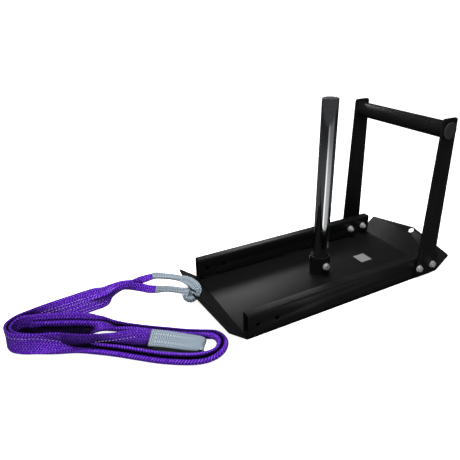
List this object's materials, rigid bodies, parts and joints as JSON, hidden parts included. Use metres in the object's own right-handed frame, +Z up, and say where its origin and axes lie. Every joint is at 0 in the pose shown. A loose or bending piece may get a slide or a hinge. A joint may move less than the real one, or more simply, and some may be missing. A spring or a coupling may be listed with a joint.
{
  "type": "drag sled",
  "caption": "Low steel drag sled with side rails, a centre post for weight plates, a bolted push handle and a webbing tow strap hitched through the front lip.",
  "frame": {"origin": "centre of the tray's flat underside, on the floor, midway between the two lips", "axes": "+X towards the push handle at the rear, +Y to the right hand of someone pushing, +Z up"},
  "size_m": [1.377, 0.4164, 0.582],
  "materials": {
    "frame_steel": "semi-gloss powder coat",
    "post_chrome": "polished",
    "plug_plastic": "satin",
    "fastener_zinc": "bright zinc",
    "label_metal": "satin",
    "strap_webbing": "woven webbing",
    "strap_sleeving": "woven sleeving"
  },
  "bodies": {
    "root": {"tray": "frame_steel", "rail_left": "frame_steel", "rail_right": "frame_steel", "post_socket": "frame_steel", "upright_left": "frame_steel", "upright_right": "frame_steel", "crossbar": "frame_steel", "post": "post_chrome", "post_cap": "plug_plastic", "crossbar_cap_left": "plug_plastic", "crossbar_cap_right": "plug_plastic", "post_bolt": "fastener_zinc", "post_washer_left": "fastener_zinc", "post_washer_right": "fastener_zinc", "post_nut": "fastener_zinc", "upright_bolt_left_front": "fastener_zinc", "outer_washer_left_front": "fastener_zinc", "inner_washer_left_front": "fastener_zinc", "upright_nut_left_front": "fastener_zinc", "upright_bolt_left_rear": "fastener_zinc", "outer_washer_left_rear": "fastener_zinc", "inner_washer_left_rear": "fastener_zinc", "upright_nut_left_rear": "fastener_zinc", "upright_bolt_right_front": "fastener_zinc", "outer_washer_right_front": "fastener_zinc", "inner_washer_right_front": "fastener_zinc", "upright_nut_right_front": "fastener_zinc", "upright_bolt_right_rear": "fastener_zinc", "outer_washer_right_rear": "fastener_zinc", "inner_washer_right_rear": "fastener_zinc", "upright_nut_right_rear": "fastener_zinc", "label_plate": "label_metal", "strap_body": "strap_webbing", "strap_leg_upper": "strap_webbing", "strap_leg_lower": "strap_webbing", "sleeve_near": "strap_sleeving", "sleeve_far": "strap_sleeving"}
  },
  "joints": []
}
